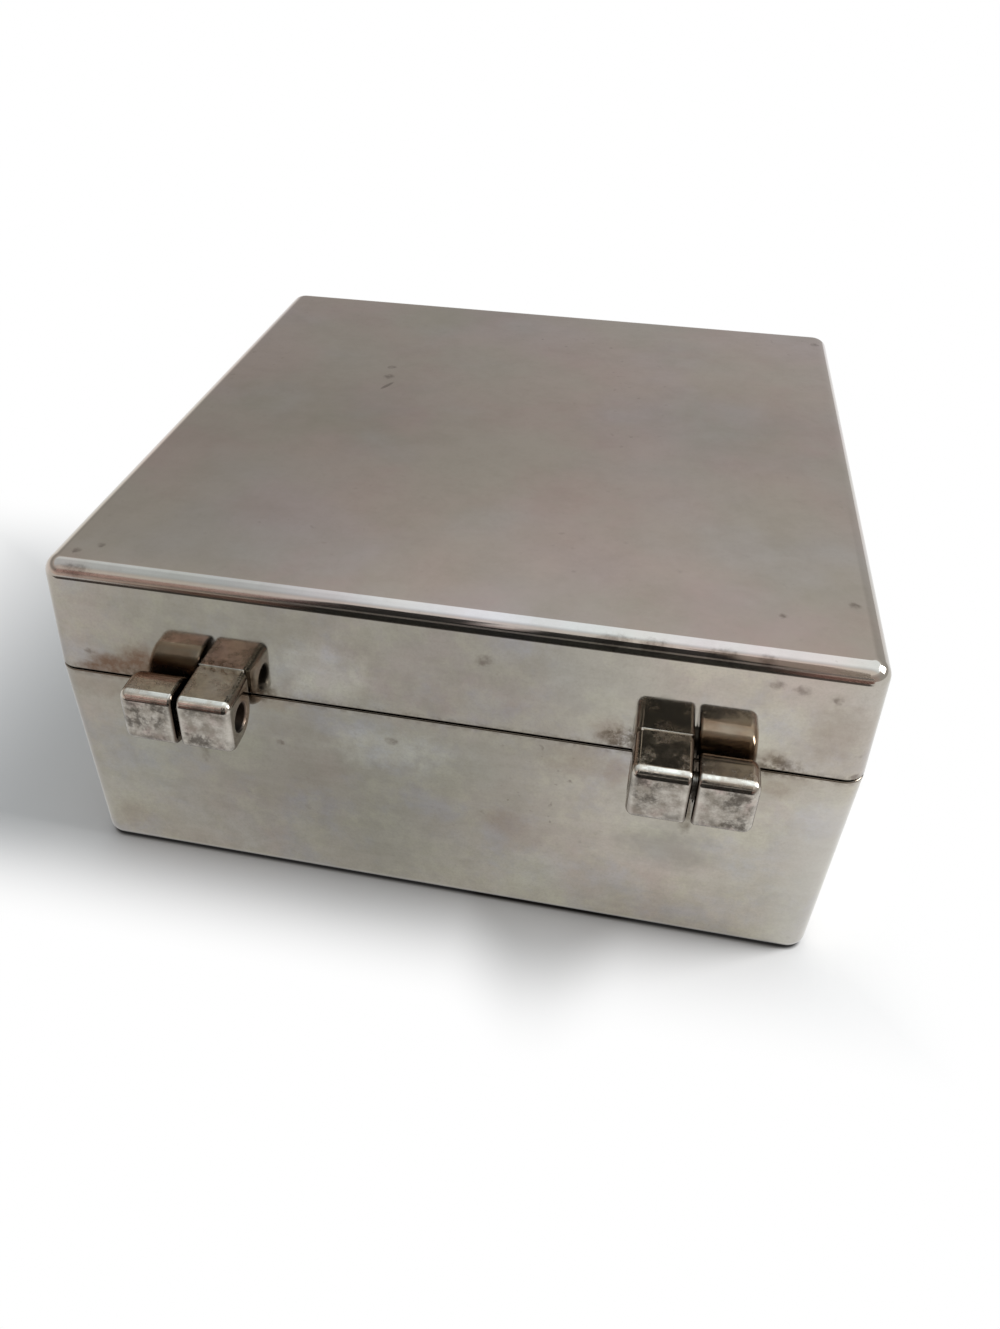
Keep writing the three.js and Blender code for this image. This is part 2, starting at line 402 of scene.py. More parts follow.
# The next list is painted shade behind and under the gaps between the knuckles
painted_gap_shade = on_wall((39.5, 38.4, 5.0, 2.6), (-39.5, 38.0, 5.0, 2.0), (35.2, 34.6, 0.9, 7.6),
                    (-35.2, 34.6, 0.9, 7.6), (35.9, 29.0, 1.5, 8.5), (-35.9, 29.0, 1.5, 8.5))

# Lone stains, a painted reflection that lightens two patches of the wall, and painted shade under a hinge
lone_stains = on_wall((-6.4, 48.2, 1.7, 1.2), (6.5, 31.4, 1.3, 1.0), (23.6, 27.8, 0.8, 0.8),
                      (51.6, 40.2, 1.0, 0.7), (-43.6, 50.6, 1.3, 1.0), (-46.7, 50.2, 1.4, 1.0),
                      (-51.1, 49.3, 0.9, 0.8), (-55.8, 37.2, 0.8, 0.8))
lone_stains += on_lid((50.2, 50.9, 0.8), (52.9, 53.0, 0.9), (-43.9, 47.5, 0.7), (-53.3, 43.1, 1.1),
                      (-54.4, -50.8, 1.1), (25.1, -16.0, 1.4), (25.8, -20.5, 1.1))
lone_stains += on_edge((51.5, 3.2), (-22.5, 3.4), (-28.0, 2.6), (-36.5, 2.8), (-42.0, 1.5))
painted_reflections = on_wall((16.5, 42.5, 9.5, 7.0), (8.0, 29.5, 11.0, 5.5))
painted_shade_under_hinge = on_wall((-34.5, 18.5, 10.0, 6.5))


def silver_finish():
    material, shader, place = new_finish("silver_plate")
    sideways = axis(place, 0)
    back = axis(place, 1)
    up = axis(place, 2)
    wall = up.step(*wall_z)
    rear = back.step(*rear_y) * wall

    # Old tarnish, polished down to thin clouds, and streaks left by wiping
    olive = clouds(place, scale=24, detail=6, roughness=0.62, start=0.42, full=0.66)
    pink = clouds(place, scale=41, detail=5, roughness=0.62, start=0.47, full=0.70)
    cloud = clouds(place, scale=52, detail=4, roughness=0.55, start=0.52, full=0.72)
    lilac = clouds(place, scale=70, detail=5, roughness=0.65, start=0.48, full=0.64) * rear
    cream = clouds(place, scale=110, detail=6, roughness=0.7, start=0.47, full=0.63) * rear
    film = clouds(place, scale=230, detail=7, roughness=0.75, start=0.36, full=0.70)
    stretched = place.node("ShaderNodeMapping", {}, {"Vector": place, "Scale": wipe_scale})
    wiping = clouds(stretched, scale=1, detail=3, roughness=0.6, start=0.35, full=0.75)
    tone = coated(plate_tone, (
        (olive, 0.5, olive_tone),
        (pink, 0.5, pink_tone),
        (cloud, 0.3 + 0.2 * wall, cloud_tone),
        (lilac, 0.6, lilac_tone),
        (cream, 0.5, cream_tone),
        (film, 0.24 + 0.16 * wall, film_tone),
        (wiping, 0.18, wiped_tone)))

    # Hues that drift over the lid and half as much over the walls, painted reflections and painted shade
    rosy = clouds(place, scale=34, detail=3, roughness=0.5, start=0.36, full=0.64)
    warm = clouds(place, scale=27, detail=3, roughness=0.5, start=0.64, full=0.36)
    drift = 1 - wall * 0.5
    tints = (
        (drift, rosy.between(*rosy_tints)),
        (drift, warm.between(*warm_tints)),
        (wall, wall_tint),
        (up.step(*base_z), base_tint),
        # A painted reflection lightens two patches of the wall
        (stains(place, painted_reflections, ragged=0.5), reflection_tint),
        # Painted shade under a hinge
        (stains(place, painted_shade_under_hinge, ragged=0.4), under_hinge_shade_tint))
    for mask, tint in tints:
        tone = mask.tinting(tone, tint)
    speckle = clouds(place, scale=2800, detail=2, roughness=0.6, start=0.45, full=0.65) * wall
    tone = (speckle * 0.14).between(tone, film_tone)
    # Painted shade across the middle of the rear wall, and the rear wall darker towards its lower right
    low_right = sideways.step(*low_right_x) * up.step(*low_right_z) * rear
    painted_wall_shade = distance(place, wall_shade_middle).step(*wall_shade_reach) * back.step(*wall_shade_y)
    tone = painted_wall_shade.either(low_right * 0.42).tinting(tone, darkening_tint)

    # Brown haze, crusted dirt and grime, the joint's line, pits, stains, a scratch, painted light and shade
    fine = grain(place, scale=900, detail=4, roughness=0.65)
    speck = clouds(place, scale=1300, detail=4, roughness=0.6, start=0.25, full=0.65)
    cluster = clouds(place, scale=33, detail=3, roughness=0.5, start=0.52, full=0.68)
    # Painted light that brightens the right end of the base
    painted_end_light = sideways.step(*end_light_x) * up.step(*end_light_z)
    haze = stains(place, faint_brown, ragged=0.5) * 0.45
    haze = haze.either(stains(place, pink_haze, ragged=0.6) * 0.3)
    haze = haze * fine.step(*haze_grain).at_least(0.8)
    # Painted brown shade beside one hinge
    brown = stains(place, painted_shade_beside_hinge, ragged=0.3) * fine.step(*haze_grain).at_least(0.75)
    crust_and_gap_shade = stains(place, dark_crust, ragged=0.8) * fine.step(*crust_grain)
    # Painted shade in the gaps behind the knuckles, joined to the crusted dirt
    crust_and_gap_shade = crust_and_gap_shade.either(stains(place, painted_gap_shade, ragged=0.4))
    from_joint = abs(up - joint_z)
    grime = from_joint.step(*joint_grime) * fine.step(*grime_grain) * 0.45
    joint = from_joint.step(*joint_line).either(grime) * outside(place, rim_half).step(*outer_skin)
    # Painted shade along the bottom edge of the base, where it meets the floor
    painted_foot_shade = up.step(*foot_shade_z)
    pits = clouds(place, scale=640, detail=2, roughness=0.5, start=0.66, full=0.78)
    pits = pits * (0.12 + 0.7 * cluster)
    lone = stains(place, lone_stains, ragged=0.7) * speck.at_least(0.3)
    scratch = oval(place, scratch_middle, scratch_half, scratch_turn).step(*scratch_edge)
    tone = coated(tone, (
        (painted_end_light, 0.4, end_light_tone),
        (haze, 1, haze_tone),
        (brown, 1, beside_hinge_shade_tone),
        (crust_and_gap_shade, 0.75, crust_and_shade_tone),
        ((joint * 0.75).either(painted_foot_shade), 1, joint_and_foot_shade_tone),
        (pits.either(lone), 0.6, spot_tone),
        (scratch, 0.7, spot_tone)))
    place.feed(shader.inputs["Base Color"], tone)
    matt_marks = crust_and_gap_shade + pits + scratch
    place.feed(shader.inputs["Roughness"], 0.05 + film * 0.05 + wiping * 0.03 + matt_marks * 0.2)
    waves = grain(place, scale=45, detail=1, roughness=0.4)
    place.feed(shader.inputs["Normal"], relief(place, waves, strength=0.05, depth=0.4 * mm))
    shader.inputs["Metallic"].default_value = 1
    return material


silver = silver_finish()
base_tray.data.materials.append(silver)
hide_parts("base_shell")
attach(base_tray, "base")

# Rim strip
# A thin strip of the same sheet is soldered inside the base's rim. It stands up into the lid and keeps
# the two halves flush.
strip_low, strip_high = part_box("rim_lip")
strip_half = strip_high.x
strip_thickness = 1.0 * mm
strip_corner_radius = corner_radius - sheet - (rim_half - sheet - strip_half)
strip_top_round = 0.3 * mm
strip_top_steps = 3
end_facing = 0.9

rim_strip = block("rim_strip", Vector((-strip_half, -strip_half, strip_low.z)),
                  Vector((strip_half, strip_half, strip_high.z)))
bpy.ops.object.mode_set(mode="EDIT")
bpy.ops.mesh.select_all(action="SELECT")
bpy.ops.mesh.bisect(plane_co=(0, 0, joint_z), plane_no=(0, 0, 1))
for end_z in (strip_low.z, strip_high.z):
    pick(rim_strip, "VERT", lambda v: near(v.co.z, end_z))
    lean = 1 - draft * abs(end_z - joint_z) / strip_half
    bpy.ops.transform.resize(value=(lean, lean, 1), center_override=(0, 0, end_z))
pick(rim_strip, "EDGE", lambda e: not near(e.verts[0].co.z, e.verts[1].co.z))
round_edges(strip_corner_radius, fine_steps)
pick(rim_strip, "FACE", lambda f: abs(f.normal.z) > end_facing)
bpy.ops.mesh.delete(type="ONLY_FACE")
bpy.ops.object.mode_set(mode="OBJECT")
modify(rim_strip, "SOLIDIFY", thickness=strip_thickness, offset=-1, use_even_offset=True)
bpy.ops.object.mode_set(mode="EDIT")
pick(rim_strip, "FACE", lambda f: f.normal.z > end_facing)
bpy.ops.mesh.region_to_loop()
round_edges(strip_top_round, strip_top_steps)
bpy.ops.object.mode_set(mode="OBJECT")
smooth(rim_strip)
rim_strip.data.materials.append(silver)
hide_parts("rim_lip")
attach(rim_strip, "base")

# Lid tray
# The lid is a shallow tray of the same sheet, turned over: a flat top, a rounder top edge and walls
# that lean in to it.
lid_edge_radius = 2.4 * mm
lid_tray = drawn_tray("lid_tray", lid_low.z, lid_high.z, lid_edge_radius)
smooth(lid_tray)
lid_tray.data.materials.append(silver)
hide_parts("lid_shell")
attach(lid_tray, "lid")

# Hinge knuckles
# Each hinge is two cubes of silver-plated bar, soldered to the lid and to the base. One rear quarter of
# each is rounded about the pin so that the walls swing past, and its flat faces stop the lid upright.
pin_place = Vector(frame["joints"][0]["pos_m"])
bore_radius = 2.0 * mm
bore_chamfer = 0.25 * mm
round_sides = 48
top_round = 1.5 * mm
bottom_round = 1.7 * mm
front_steps = 8
side_round = 1.25 * mm
gap_round = 0.6 * mm
side_steps = 6
solder_reach = 0.4 * mm
solder_flare = 0.3 * mm
solder_start = 0.7 * mm
side_facing = 0.99
rear_facing = 0.999
lid_cube_low, lid_cube_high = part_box("lid_knuckle_right")
base_cube_low, base_cube_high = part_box("base_knuckle_right")
lid_cube_middle = (lid_cube_low.x + lid_cube_high.x) / 2
base_cube_middle = (base_cube_low.x + base_cube_high.x) / 2
gap_middle = (lid_cube_high.x + base_cube_low.x) / 2

# Tones of the bar, of its tarnish and of painted light and shade
bar_tone = (0.485, 0.45, 0.40, 1)
bar_pink_tone = (0.38, 0.275, 0.25, 1)
bar_film_tone = (0.22, 0.19, 0.155, 1)
mottle_and_reflection_tone = (0.085, 0.072, 0.06, 1)
worn_and_lit_tone = (0.70, 0.66, 0.59, 1)
blotch_tone = (0.36, 0.29, 0.22, 1)
copper_tone = (0.46, 0.30, 0.205, 1)
crevice_and_gap_shade_tone = (0.06, 0.038, 0.024, 1)
bore_shade_tone = (0.03, 0.022, 0.018, 1)

# Where a cube's finish changes, each as the place at which a share is 0 and the place at which it is 1
front_y = (64.2 * mm, 65.3 * mm)
copper_y = (62.2 * mm, 60.8 * mm)
crevice_shade_y = (59.6 * mm, 58.2 * mm)
top_edge_reflection_z = (37.6 * mm, 38.9 * mm)
lower_edge_z = (34.6 * mm, 33.2 * mm)
under_top_z = (40.4 * mm, 39.8 * mm)
cube_top_z = (40.1 * mm, 40.5 * mm)
base_cube_x = (35.0 * mm, 35.4 * mm)
from_cube_middle = (2.7 * mm, 3.5 * mm)
from_pin_level = (3.3 * mm, 4.1 * mm)
from_gap = (0.85 * mm, 0.45 * mm)
from_pin = (2.5 * mm, 2.0 * mm)


def knuckle_finish():
    material, shader, place = new_finish("knuckle_silver")
    across = abs(axis(place, 0))
    back = axis(place, 1)
    up = axis(place, 2)
    front = back.step(*front_y)

    # Edges worn bright, and the tops wiped bright and lightened with painted light
    near_side = abs(across - lid_cube_middle).step(*from_cube_middle)
    near_side = near_side * abs(across - base_cube_middle).step(*from_cube_middle)
    near_level = abs(up - pin_place.z).step(*from_pin_level)
    worn_side = near_side * front.either(near_level)
    worn_edge = (worn_side * 0.35).either(near_level * front * 0.45)
    top_face = up.step(*cube_top_z)
    wiped = clouds(place, scale=480, detail=6, roughness=0.7, start=0.34, full=0.54)
    # The tops are lightened beyond their wear with painted light
    wiped_and_lit_top = top_face * (0.45 + 0.5 * wiped)
    blotch = top_face * clouds(place, scale=270, detail=7, roughness=0.72, start=0.46, full=0.60)

    # Tarnish on the faces, most of it at the front, and a painted reflection darkening under the top edge
    patches = clouds(place, scale=190, detail=3, roughness=0.5, start=0.40, full=0.58)
    smear = clouds(place, scale=520, detail=8, roughness=0.7, start=0.44, full=0.60)
    pink = clouds(place, scale=230, detail=4, roughness=0.6, start=0.48, full=0.66)
    film = clouds(place, scale=620, detail=5, roughness=0.7, start=0.30, full=0.66)
    film = film * front.at_least(0.25)
    # Darker bands along the top and bottom edges of the fronts: smudges, and under the top edge a painted
    # reflection
    edge_smudge_and_reflection = up.step(*top_edge_reflection_z).either(up.step(*lower_edge_z))
    mottle_and_edge_reflection = smear * patches.either(edge_smudge_and_reflection * 0.75) * front.at_least(0.35)

    # Bare copper where the plate has gone, and painted shade at the wall, in the gap and in the bore
    under_top = up.step(*under_top_z)
    copper = back.step(*copper_y) * under_top.either(across.step(*base_cube_x)) * patches.at_least(0.7)
    # Painted shade on the cubes' rears, near the wall
    painted_crevice_shade = back.step(*crevice_shade_y) * under_top * smear.at_least(0.62)
    # Painted shade on the cubes' sides at the gap between them
    painted_cube_gap_shade = abs(across - gap_middle).step(*from_gap)
    # Painted shade in the bore
    section = place.node("ShaderNodeVectorMath", {"operation": "MULTIPLY"}, {0: place, 1: (0, 1, 1)})
    bore = distance(section, (0, pin_place.y, pin_place.z)).step(*from_pin)
    tone = coated(bar_tone, (
        (pink, 0.6, bar_pink_tone),
        (film, 0.85, bar_film_tone),
        (mottle_and_edge_reflection, 0.8, mottle_and_reflection_tone),
        (worn_edge.either(wiped_and_lit_top), 1, worn_and_lit_tone),
        (blotch, 0.5, blotch_tone),
        (copper, 0.65, copper_tone),
        ((painted_crevice_shade * 0.85).either(painted_cube_gap_shade * 0.9), 1, crevice_and_gap_shade_tone),
        (bore, 0.85, bore_shade_tone)))
    place.feed(shader.inputs["Base Color"], tone)
    place.feed(shader.inputs["Roughness"], 0.06 + film * 0.05 + (mottle_and_edge_reflection + blotch) * 0.2 + bore * 0.4)
    dents = grain(place, scale=330, detail=3, roughness=0.5)
    place.feed(shader.inputs["Normal"], relief(place, dents, strength=0.14, depth=0.3 * mm))
    shader.inputs["Metallic"].default_value = 1
    return material


knuckle_silver = knuckle_finish()


def rod(name, radius, low_x, high_x):
    """A round rod on the pin's axis between two places along it."""
    bpy.ops.object.select_all(action="DESELECT")
    bpy.ops.mesh.primitive_cylinder_add(vertices=round_sides, radius=radius, depth=high_x - low_x,
                                        location=((low_x + high_x) / 2, pin_place.y, pin_place.z),
                                        rotation=(0, math.pi / 2, 0))
    piece = bpy.context.object
    piece.name = piece.data.name = name
    bpy.ops.object.transform_apply(location=True, rotation=True, scale=True)
    return piece


def bore_cutter(low_x, high_x):
    """A rod of the bore's size that flares where it leaves the knuckle, to ease the bore's mouths."""
    cutter = rod("bore_cutter", bore_radius, low_x + bore_chamfer, high_x - bore_chamfer)
    bpy.ops.object.mode_set(mode="EDIT")
    flare = 1 + 2 * bore_chamfer / bore_radius
    for outward in (-1, 1):
        pick(cutter, "FACE", lambda f: f.normal.x * outward > side_facing)
        mouth = (outward * 2 * bore_chamfer, 0, 0)
        bpy.ops.mesh.extrude_region_move(TRANSFORM_OT_translate={"value": mouth})
        bpy.ops.transform.resize(value=(1, flare, flare), center_override=(0, pin_place.y, pin_place.z))
    bpy.ops.object.mode_set(mode="OBJECT")
    return cutter


def cube_knuckle(name, node, body, round_side):
    """Knuckle in a CAD node's box. round_side is 1 if its upper rear quarter is round, else -1."""
    low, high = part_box(node)
    half = (high.z - low.z) / 2
    rear = pin_place.y - half

    # Its outline on one side face: a square with one corner rounded about the pin and the front ones worn
    bpy.ops.object.select_all(action="DESELECT")
    bpy.ops.mesh.primitive_plane_add(size=1, location=(low.x, (rear + high.y) / 2, pin_place.z),
                                     rotation=(0, math.pi / 2, 0))
    piece = bpy.context.object
    piece.name = piece.data.name = name
    piece.scale = (2 * half, high.y - rear, 1)
    bpy.ops.object.transform_apply(location=True, rotation=True, scale=True)
    bpy.ops.object.mode_set(mode="EDIT")
    round_z = pin_place.z + round_side * half
    pick(piece, "VERT", lambda v: near(v.co.y, rear) and near(v.co.z, round_z))
    bpy.ops.mesh.bevel(offset=half, segments=2 * fine_steps, affect="VERTICES", clamp_overlap=False)
    for front_z, front_round in ((high.z, top_round), (low.z, bottom_round)):
        pick(piece, "VERT", lambda v: near(v.co.y, high.y) and near(v.co.z, front_z))
        bpy.ops.mesh.bevel(offset=front_round, segments=front_steps, affect="VERTICES")

    # Drawn out to its other side face, with both outlines worn, less so at the gap between the cubes
    pick(piece, "FACE", lambda f: True)
    bpy.ops.mesh.extrude_region_move(TRANSFORM_OT_translate={"value": (high.x - low.x, 0, 0)})
    bpy.ops.mesh.select_all(action="SELECT")
    bpy.ops.mesh.normals_make_consistent(inside=False)
    middle_x = (low.x + high.x) / 2
    to_gap = math.copysign(1, middle_x * (gap_middle - abs(middle_x)))
    for facing, worn in ((to_gap, gap_round), (-to_gap, side_round)):
        pick(piece, "FACE", lambda f: f.normal.x * facing > side_facing)
        bpy.ops.mesh.region_to_loop()
        round_edges(worn, side_steps)
    bpy.ops.object.mode_set(mode="OBJECT")
    cutter = bore_cutter(low.x, high.x)
    modify(piece, "BOOLEAN", object=cutter, operation="DIFFERENCE", solver="EXACT")
    bpy.data.objects.remove(cutter)
    bpy.ops.object.mode_set(mode="EDIT")

    # The flat part of its rear face is soldered to the wall, with a small fillet
    solder_z = pin_place.z - round_side * solder_start
    pick(piece, "FACE", lambda f: f.normal.y < -rear_facing)
    bpy.ops.mesh.bisect(plane_co=(0, 0, solder_z), plane_no=(0, 0, 1))
    pick(piece, "FACE", lambda f: f.normal.y < -rear_facing
         and (solder_z - f.calc_center_median().z) * round_side > 0)
    bpy.ops.mesh.extrude_region_move(TRANSFORM_OT_translate={"value": (0, -solder_reach, 0)})
    width = high.x - low.x
    flare_x = (width - side_round + gap_round) / (width - side_round - gap_round)
    flare_z = 1 + solder_flare / half
    middle = (middle_x + to_gap * (side_round - gap_round) / 2, rear, solder_z)
    bpy.ops.transform.resize(value=(flare_x, 1, flare_z), center_override=middle)
    bpy.ops.object.mode_set(mode="OBJECT")
    smooth(piece)
    piece.data.materials.append(knuckle_silver)
    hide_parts(node)
    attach(piece, body)


for side in ("left", "right"):
    cube_knuckle(f"base_cube_{side}", f"base_knuckle_{side}", "base", 1)
    cube_knuckle(f"lid_cube_{side}", f"lid_knuckle_{side}", "lid", -1)

# Hinge pins
# A round steel pin through each pair of knuckles, driven in until its chamfered ends lie inside the bores.
# The steel is bare, so it has rusted a little.
pin_chamfer = 0.3 * mm
pin_chamfer_steps = 3
end_ring = 0.5 * mm
steel_tone = (0.30, 0.28, 0.25, 1)
rust_tone = (0.07, 0.04, 0.025, 1)


def pin_finish():
    material, shader, place = new_finish("pin_steel")
    rust = clouds(place, scale=500, detail=5, roughness=0.65, start=0.42, full=0.62)
    turning = grain(place, scale=1400, detail=2, roughness=0.5)
    place.feed(shader.inputs["Base Color"], (rust * 0.7).between(steel_tone, rust_tone))
    place.feed(shader.inputs["Roughness"], 0.3 + rust * 0.35)
    place.feed(shader.inputs["Normal"], relief(place, turning, strength=0.1, depth=0.1 * mm))
    shader.inputs["Metallic"].default_value = 1
    return material


pin_steel = pin_finish()
for side in ("left", "right"):
    low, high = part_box(f"hinge_pin_{side}")
    pin = rod(f"steel_pin_{side}", (high.z - low.z) / 2, low.x, high.x)
    bpy.ops.object.mode_set(mode="EDIT")
    pick(pin, "FACE", lambda f: abs(f.normal.x) > end_facing)
    bpy.ops.mesh.region_to_loop()
    round_edges(pin_chamfer, pin_chamfer_steps)
    pick(pin, "FACE", lambda f: abs(f.normal.x) > side_facing)
    bpy.ops.mesh.inset(thickness=end_ring, depth=0)
    bpy.ops.mesh.inset(thickness=end_ring, depth=0)
    bpy.ops.object.mode_set(mode="OBJECT")
    smooth(pin)
    pin.data.materials.append(pin_steel)
    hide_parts(f"hinge_pin_{side}")
    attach(pin, "base")

# Wall lining
# Four thin boards covered in dark blue velvet, glued to the inner walls of the base. They lean with the
# walls and stop below the rim strip.
board_round = 0.6 * mm
board_steps = 4
nap_dark_tone = (0.010, 0.016, 0.055, 1)
nap_light_tone = (0.022, 0.034, 0.105, 1)
pile_tone = (0.006, 0.008, 0.026, 1)
sheen_tone = (0.35, 0.45, 0.85, 1)
facings = {"front": (0, -1, 0), "rear": (0, 1, 0), "left": (-1, 0, 0), "right": (1, 0, 0)}


def velvet_finish():
    material, shader, place = new_finish("blue_velvet")
    nap = clouds(place, scale=60, detail=5, roughness=0.6, start=0.35, full=0.70)
    pile = grain(place, scale=2600, detail=2, roughness=0.6)
    tone = nap.between(nap_dark_tone, nap_light_tone)
    tone = (pile.step(0.5, 0.3) * 0.6).between(tone, pile_tone)
    place.feed(shader.inputs["Base Color"], tone)
    place.feed(shader.inputs["Normal"], relief(place, pile, strength=0.5, depth=0.3 * mm))
    shader.inputs["Roughness"].default_value = 0.9
    shader.inputs["Specular IOR Level"].default_value = 0.2
    shader.inputs["Sheen Weight"].default_value = 0.6
    shader.inputs["Sheen Roughness"].default_value = 0.4
    shader.inputs["Sheen Tint"].default_value = sheen_tone
    return material


velvet = velvet_finish()


def dress_in_velvet(piece, node, body):
    piece.data.materials.append(velvet)
    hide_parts(node)
    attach(piece, body)


for side, facing in facings.items():
    node = f"lining_{side}"
    low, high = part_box(node)
    outward = Vector(facing)
    lean = draft * (high.z - low.z)
    outer = max(low.dot(outward), high.dot(outward))
    inner = min(low.dot(outward), high.dot(outward))
    board = block(f"velvet_board_{side}", low, high)
    bpy.ops.object.mode_set(mode="EDIT")
    pick(board, "VERT", lambda v: near(v.co.dot(outward), outer) and near(v.co.z, low.z))
    bpy.ops.transform.translate(value=-lean * outward)
    pick(board, "VERT", lambda v: near(v.co.dot(outward), inner) and near(v.co.z, high.z))
    bpy.ops.transform.translate(value=lean * outward)
    bpy.ops.mesh.select_mode(type="EDGE")
    bpy.ops.mesh.select_all(action="SELECT")
    round_edges(board_round, board_steps)
    bpy.ops.object.mode_set(mode="OBJECT")
    smooth(board)
    dress_in_velvet(board, node, "base")

# Velvet pads
# A pad of the same velvet over soft wadding lies on the base's floor, and a second one is glued inside the
# lid. Each is flat where it is glued and swells a little towards its middle.
pad_cell = 2.2 * mm
pad_corner = 1.5 * mm
pad_corner_steps = 4
pad_foot = 2.4 * mm
pad_swell = 0.85 * mm
swell_pressure = 4
swell_frames = 20


def swell(pad, seat_z):
    """Blows the pad up as cloth that is glued at its seat, and caps how far its face rises."""
    glued = pad.vertex_groups.new(name="glued")
    glued.add([v.index for v in pad.data.vertices if near(v.co.z, seat_z)], 1, "REPLACE")
    start = [v.co.copy() for v in pad.data.vertices]
    cloth = pad.modifiers.new("cloth", "CLOTH")
    cloth.settings.use_pressure = True
    cloth.settings.uniform_pressure_force = swell_pressure
    cloth.settings.effector_weights.gravity = 0
    cloth.settings.vertex_group_mass = glued.name
    for step in range(1, swell_frames + 1):
        bpy.context.scene.frame_set(step)
    bpy.context.view_layer.objects.active = pad
    bpy.ops.object.modifier_apply(modifier=cloth.name)
    bpy.context.scene.frame_set(1)
    moves = [v.co - old for v, old in zip(pad.data.vertices, start)]
    furthest = max(move.length for move in moves)
    for vertex, old, move in zip(pad.data.vertices, start, moves):
        vertex.co = old + move * min(1, pad_swell / furthest)
    pad.vertex_groups.clear()


def velvet_pad(name, node, up):
    """Pad in a CAD node's box. up is +1 where it swells upwards and -1 where it swells downwards."""
    low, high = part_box(node)
    seat_z = low.z if up > 0 else high.z
    cells = round((high.x - low.x) / pad_cell)
    middle = (low + high) / 2
    bpy.ops.object.select_all(action="DESELECT")
    bpy.ops.mesh.primitive_grid_add(x_subdivisions=cells, y_subdivisions=cells, size=1,
                                    location=(middle.x, middle.y, seat_z))
    pad = bpy.context.object
    pad.name = pad.data.name = name
    pad.scale = (high.x - low.x, high.y - low.y, 1)
    bpy.ops.object.transform_apply(location=True, rotation=True, scale=True)
    bpy.ops.object.mode_set(mode="EDIT")
    bpy.ops.mesh.select_all(action="SELECT")
    bpy.ops.mesh.extrude_region_move(TRANSFORM_OT_translate={"value": (0, 0, up * pad_foot)})
    bpy.ops.mesh.select_all(action="SELECT")
    bpy.ops.mesh.normals_make_consistent(inside=False)
    pick(pad, "EDGE", lambda e: not near(e.verts[0].co.z, e.verts[1].co.z)
         and near(abs(e.verts[0].co.x), high.x) and near(abs(e.verts[0].co.y), high.y))
    round_edges(pad_corner, pad_corner_steps)
    bpy.ops.object.mode_set(mode="OBJECT")
    swell(pad, seat_z)
    modify(pad, "SUBSURF", levels=1, render_levels=1)
    bpy.ops.object.select_all(action="DESELECT")
    pad.select_set(True)
    bpy.ops.object.shade_smooth()
    return pad


floor_cushion = velvet_pad("floor_cushion", "floor_pad", 1)
dress_in_velvet(floor_cushion, "floor_pad", "base")
lid_cushion = velvet_pad("lid_cushion", "lid_pad", -1)
dress_in_velvet(lid_cushion, "lid_pad", "lid")

# Floor
# A plain sheet of white paper, with a painted contact shadow where the box stands on it. Away from the box
# it is lifted to plain white, for the camera and in reflections, and near the box it keeps the box's
# shadow.
floor_width = 8
paper_tone = (0.8, 0.8, 0.8, 1)
contact_shadow_tone = (0.04, 0.04, 0.04, 1)
foot_half = rim_half - draft * (base_high.z - base_low.z)
contact_shadow_edge = (0, -0.8 * mm)

# Where the shadow ends, each as the place at which it is whole and the place at which it is gone. Left and
# right are the photo's.
shadow_rear = (-3 * mm, 19 * mm)
shadow_left = (15 * mm, 95 * mm)
shadow_right = (-rim_half, -rim_half - 20 * mm)
shadow_front = (10 * mm, -45 * mm)

# A bulge in the shadow's rear edge, and the part of the paper that the box mirrors darker
dip_x = -17.5 * mm
dip_reach = (14 * mm, 1 * mm)
dip_length = 7.5 * mm
table_middle = Vector((38, 42, 0)) * mm
table_reach = (60 * mm, 190 * mm)
mirrored_lift = 0.43


def ray(place, kind):
    """1 for rays of a kind, such as Camera or Glossy, and 0 for other rays."""
    return place.node("ShaderNodeLightPath", output=f"Is {kind} Ray")


bpy.ops.object.select_all(action="DESELECT")
bpy.ops.mesh.primitive_plane_add(size=floor_width)
floor = bpy.context.object
floor.name = floor.data.name = "floor"
paper, paper_shader, paper_place = new_finish("white_paper")
paper_shader.inputs["Roughness"].default_value = 0.9
paper_shader.inputs["Specular IOR Level"].default_value = 0.1
# A painted contact shadow: the paper is dark under the base
painted_contact_shadow = outside(paper_place, foot_half).step(*contact_shadow_edge)
paper_place.feed(paper_shader.inputs["Base Color"], painted_contact_shadow.between(paper_tone, contact_shadow_tone))
floor_x = axis(paper_place, 0)
floor_y = axis(paper_place, 1)
dip = abs(floor_x - dip_x).step(*dip_reach) * dip_length
clear_of_box = (floor_y - rim_half - dip).step(*shadow_rear)
clear_of_box = clear_of_box.either((floor_x - rim_half).step(*shadow_left))
clear_of_box = clear_of_box.either(floor_x.step(*shadow_right)).either(floor_y.step(*shadow_front))
table_edge = distance(paper_place, table_middle).step(*table_reach)
mirrored = ray(paper_place, "Glossy").either(ray(paper_place, "Transmission"))
mirrored = mirrored * table_edge.at_least(mirrored_lift)
lift = (ray(paper_place, "Camera") * clear_of_box).either(mirrored)
white = paper_place.node("ShaderNodeEmission", {}, {"Strength": 1.0})
lit_paper = Shade(paper.node_tree, paper_shader.outputs[0])
lifted = paper_place.node("ShaderNodeMixShader", {}, {0: lift, 1: lit_paper, 2: white})
paper_place.feed(paper.node_tree.nodes["Material Output"].inputs["Surface"], lifted)
floor.data.materials.append(paper)

